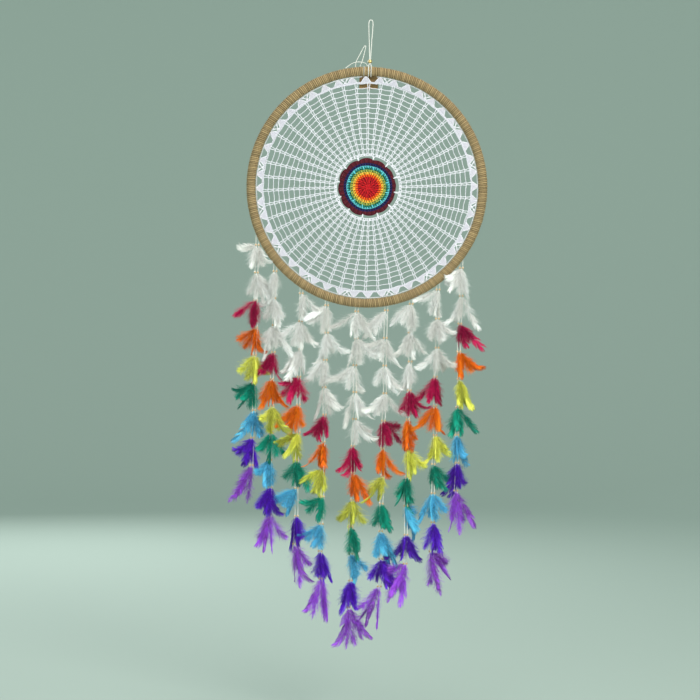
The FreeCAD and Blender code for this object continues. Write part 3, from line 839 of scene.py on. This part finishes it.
def add_down(mesh, rng, quill, count, reach, end, slots):
    """Loose fluff all round the lower shaft."""
    share = rng.uniform(0.02, end, count)
    root, head, side, face = quill.at(share)
    swing = rng.normal(0, 0.75, count) + math.pi * rng.integers(0, 2, count)
    outward = np.cos(swing)[:, None] * side + np.sin(swing)[:, None] * face
    size = np.interp(share / end, [0, 0.10, 0.30, 0.70, 1], [0.32, 0.70, 1.0, 0.95, 0.62])
    size = np.maximum(reach * size * (1 + 0.18 * rng.normal(0, 1, count)), 0.002)
    s = np.linspace(0, 1, 5)[None]
    bend = rng.uniform(0.55, 1.25, count)[:, None] * (1 - 0.45 * s)
    bend = bend + rng.normal(0, 0.30, count)[:, None] * s
    path = barb_paths(root, head, outward, bend, size)
    across = np.cross(head, outward)
    wave = rng.normal(0, 0.14, count)[:, None]
    wave = wave * np.sin(math.pi * s * rng.uniform(1.0, 2.2, count)[:, None])
    path = path + (wave * size[:, None])[..., None] * across[:, None, :]
    thick = rng.uniform(0.00017, 0.00028, count)[:, None] * (1 - 0.60 * s)
    add_tubes(mesh, soften(path), thick, 3, ref=across[:, None, :], slot=rng.choice(slots, count))


def add_vane(mesh, rng, quill, count, reach, start, slots):
    """The closed blade of the feather: barbs side by side, rounded off at the tip."""
    groups = 7
    for way in (-1.0, 1.0):
        share = np.linspace(start, 1.0, count) + rng.normal(0, 0.3 / count, count)
        root, head, side, face = quill.at(np.clip(share, 0.02, 1.0))
        along = np.clip((share - start) / (1 - start), 0, 1)
        group = rng.normal(0, 1, groups)[np.minimum((along * groups).astype(int), groups - 1)]
        profile = np.interp(along, [0, 0.18, 0.55, 0.85, 1.0], [0.75, 1.0, 1.0, 0.95, 0.62])
        size = reach * profile * (1 + 0.08 * rng.normal(0, 1, count) + 0.07 * group)
        opening = np.interp(along, [0, 0.5, 0.85, 1.0], [0.92, 0.80, 0.62, 0.22]) + 0.08 * group
        s = np.linspace(0, 1, 4)[None]
        path = barb_paths(root, head, way * side, opening[:, None] * (1 - 0.40 * s), size)
        cup = (0.20 * rng.normal() + 0.05 * group)[:, None] * s ** 2
        path = path + (cup * size[:, None])[..., None] * face[:, None, :]
        thick = 0.00032 * (1 - 0.45 * s ** 2) * np.ones((count, 1))
        shade = np.where(group > 0.8, slots[1], np.where(group < -0.9, slots[2], slots[0]))
        add_tubes(mesh, soften(path), thick, 3, ref=face[:, None, :], flat=0.5, slot=shade)


def add_feather(mesh, rng, base, azimuth, lean, curl, length, kind):
    """One feather: a closed "vane" above some down, a broad "blade", a downy "plume" or "fluff"."""
    roll = rng.choice([-1, 1]) * rng.uniform(0.85, 1.55)
    quill = Quill(rng, base, azimuth, lean, curl, length, roll)
    tone = int(rng.choice([0, 0, 1, 2]))
    slots = {0: [0, 1, 2], 1: [1, 1, 0], 2: [2, 0, 2]}[tone]
    wide = min(1.2, 0.75 + 5.0 * length)
    taper = np.linspace(0.00040, 0.00010, QUILL_POINTS)
    add_tubes(mesh, soften(quill.shaft.copy()), taper[None], 5, ref=quill.face[None], slot=1)
    if kind == "vane":
        add_down(mesh, rng, quill, 150, rng.uniform(0.0115, 0.0150), 0.72, slots)
        add_vane(mesh, rng, quill, 66, wide * rng.uniform(0.0078, 0.0100), 0.36, slots)
    elif kind == "blade":
        add_down(mesh, rng, quill, 90, rng.uniform(0.0105, 0.0130), 0.50, slots)
        add_vane(mesh, rng, quill, 84, wide * rng.uniform(0.0108, 0.0130), 0.12, slots)
    elif kind == "plume":
        add_down(mesh, rng, quill, 200, rng.uniform(0.0125, 0.0160), 0.86, slots)
        add_vane(mesh, rng, quill, 46, wide * rng.uniform(0.0080, 0.0100), 0.56, slots)
    else:
        add_down(mesh, rng, quill, 230, rng.uniform(0.0140, 0.0175), 0.88, slots)
        add_vane(mesh, rng, quill, 22, rng.uniform(0.0060, 0.0075), 0.74, slots)


SHARES = np.linspace(0, 1, 12)
OUTERMOST = 188.0                 # the outermost strand's distance from the middle


def fitting_length(length, lean, curl, room):
    """The length, shortened where the feather would reach sideways past room."""
    sideways = abs(np.sin(lean + curl * SHARES ** CURL_POWER)).mean()
    return min(length, room / max(sideways, 0.1))


WIDEST = 44.0                     # sideways reach of a feather
SIDE_LIMIT = 221.5                # and of the outermost ones, from the middle
NEIGHBOUR = 10.0                  # kept clear before the next strand's middle
LONE_SIDE = 60.0                  # stands for the gap where there is no next strand


def free_width(x0, way):
    """How far the feathers of the strand at x0 may reach, short of the next strand's cords."""
    gaps = [way * (strand[1] - x0) for strand in STRANDS]
    near = min([gap for gap in gaps if gap > 0], default=LONE_SIDE)
    return min(WIDEST, SIDE_LIMIT - way * x0, near - NEIGHBOUR)


def tier_feathers(rng, last, dye, x0):
    """Place, direction, lean, curl, length and kind of each feather of one tier."""
    feathers = []
    # the outer strands are swept outwards
    outward = 0.22 * x0 / OUTERMOST
    room = {way: free_width(x0, way) for way in (-1, 1)}
    sweep = outward + rng.normal(0, 0.30)
    lead = 1 if rng.random() < 0.5 + 0.8 * outward else -1
    white = dye == "white"
    # those that hang down before the cords
    for order in range(1 if white and rng.random() < 0.6 else 2):
        way = -lead if order else lead
        azimuth = -math.pi / 2 + np.clip(way * rng.uniform(0.2, 0.9) + 2.0 * sweep, -1.3, 1.3)
        lean = rng.uniform(0.06, 0.30) + 0.3 * abs(sweep)
        curl = rng.uniform(-0.3, 0.5)
        length = rng.uniform(60, 74) if last else rng.uniform(36, 47)
        kind = ("fluff" if rng.random() < 0.6 else "vane") if white or order or last else "blade"
        feathers.append((way * rng.uniform(0.0, 1.6), -2.2, azimuth, lean, curl, length, kind))
    # those that curl away to the sides
    spread = rng.uniform(0.8, 1.6) if white else rng.uniform(0.45, 1.30)
    same_side = rng.random() < 0.45
    for order in range(1 if rng.random() < (0.1 if white else 0.65 if last else 0.35) else 2):
        way = lead if order == 0 or same_side else -lead
        azimuth = (0.0 if way > 0 else math.pi) - way * rng.normal(0.30, 0.40)
        lean = (0.06 + 0.60 * rng.random()) * spread + way * sweep
        curl = rng.uniform(-0.2, 1.7) * (0.8 if white else spread)
        length = rng.uniform(46, 63)
        if last:
            lean, curl, length = 0.7 * lean, 0.6 * curl, rng.uniform(62, 74)
        length = fitting_length(length, lean, curl, room[way])
        pick = rng.random()
        kind = "blade" if pick < 0.25 else "plume" if pick < (0.80 if white else 0.50) else "vane"
        feathers.append((way * 2.4, 1.5, azimuth, lean, curl, length, kind))
    # short fluff round the knot
    for order in range(1 if rng.random() < 0.5 else 2):
        way = -lead if order else lead
        azimuth = (0.0 if way > 0 else math.pi) + rng.normal(0, 0.6)
        lean = rng.uniform(0.05, 0.50) + way * sweep
        curl = rng.uniform(-0.2, 0.9)
        length = rng.uniform(48, 60) if last else rng.uniform(34, 44)
        length = fitting_length(length, lean, curl, room[way] - 4.0)
        feathers.append((way * 2.0, 1.8, azimuth, lean, curl, length, "fluff"))
    return feathers


KNOT = 1.4                        # below the beads' middle, where the feathers start


def make_strands():
    """A tuft of feathers at every tier."""
    for number, (name, x0, pitch, whites, cord_length) in enumerate(STRANDS, start=1):
        places = tier_places[name]
        tiers = len(places)
        for tier, (x, z) in enumerate(places):
            rng = np.random.default_rng(1000 * number + tier)
            dye = "white" if tier < whites else DYED_ORDER[tier - whites]
            mesh = Mesh()
            feathers = tier_feathers(rng, tier == tiers - 1, dye, x0)
            for aside, depth, azimuth, lean, curl, length, kind in feathers:
                base = np.array([x + aside, depth, z - KNOT]) * MM
                add_feather(mesh, rng, base, azimuth, lean, curl, length * MM, kind)
            piece = mesh.make("%s_tier_%02d_%s" % (name, tier + 1, dye), name, FEATHER[dye],
                              "feather_" + dye)
            if tier == 0:
                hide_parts(name + "_white_feathers")
            if tier == whites:
                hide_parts(name + "_dyed_feathers")


make_wrap()
make_web()
make_edges()
make_rosette()
make_strands()


# ------------------------------------------------------------------ nodes shown as they are

def finish_node(node, mat):
    """Shows a CAD node as it is, in this material."""
    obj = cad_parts[node]
    obj.data.materials.clear()
    obj.data.materials.append(mat)


finish_node("hanger_bead", GOLD)
finish_node("kraft_tag", CARD)
finish_node("cane_hoop", CANE)
finish_node("strand_stubs", CORD)
for strand in STRANDS:
    finish_node(strand[0] + "_beads", WOOD)


# ------------------------------------------------------------------ stage and light

FLOOR = -1.22
FLOOR_R = 4.2
SWEEP = 1.6                       # radius of the bend from floor to wall
WALL_TOP = 5.0


def make_stage():
    """A round floor that sweeps up into a wall, wide enough to walk round the object."""
    profile = [(0.01, FLOOR), (2.0, FLOOR)]
    for step in range(13):
        a = math.radians(90 * step / 12)
        profile.append((FLOOR_R + SWEEP * math.sin(a), FLOOR + SWEEP - SWEEP * math.cos(a)))
    profile.append((FLOOR_R + SWEEP, WALL_TOP))
    around = 96
    points = [(r * math.cos(2 * math.pi * k / around), r * math.sin(2 * math.pi * k / around), z)
              for r, z in profile for k in range(around)]
    faces = [(i * around + k, (i + 1) * around + k,
              (i + 1) * around + (k + 1) % around, i * around + (k + 1) % around)
             for i in range(len(profile) - 1) for k in range(around)]
    faces.append(tuple(range(around)))
    mesh = bpy.data.meshes.new("backdrop")
    mesh.from_pydata(points, [], faces)
    mesh.shade_smooth()
    pale = material("backdrop", (0.30, 0.36, 0.32), rough=0.9)
    shader = pale.node_tree.nodes["Principled BSDF"]
    shader.inputs["Emission Color"].default_value = (0.22, 0.30, 0.26, 1.0)
    shader.inputs["Emission Strength"].default_value = 0.62
    mesh.materials.append(pale)
    obj = bpy.data.objects.new("backdrop", mesh)
    bpy.context.scene.collection.objects.link(obj)


def area_light(name, place, aim, size, power, colour=(1, 1, 1)):
    """A round soft light at place, turned towards aim."""
    light = bpy.data.lights.new(name, "AREA")
    light.shape = "DISK"
    light.size = size
    light.energy = power
    light.color = colour
    obj = bpy.data.objects.new(name, light)
    bpy.context.scene.collection.objects.link(obj)
    obj.location = place
    obj.rotation_mode = "QUATERNION"
    obj.rotation_quaternion = (Vector(aim) - Vector(place)).to_track_quat("-Z", "Y")


make_stage()
area_light("key", (1.3, -2.4, 0.7), (0, 0, -0.5), 1.2, 62, (1.0, 0.98, 0.95))
area_light("fill", (-1.6, -2.8, -0.6), (0, 0, -0.55), 1.8, 40, (0.95, 0.98, 1.0))
area_light("top", (0.0, -0.6, 1.6), (0, 0, -0.5), 1.0, 18)
area_light("back", (-1.2, 2.8, 0.6), (0, 0, -0.5), 1.8, 55, (0.97, 0.99, 1.0))
world = bpy.data.worlds.new("studio")
world.use_nodes = True
world.node_tree.nodes["Background"].inputs["Color"].default_value = (0.9, 0.95, 1.0, 1.0)
world.node_tree.nodes["Background"].inputs["Strength"].default_value = 0.32
bpy.context.scene.world = world
bpy.context.scene.view_settings.view_transform = "Standard"
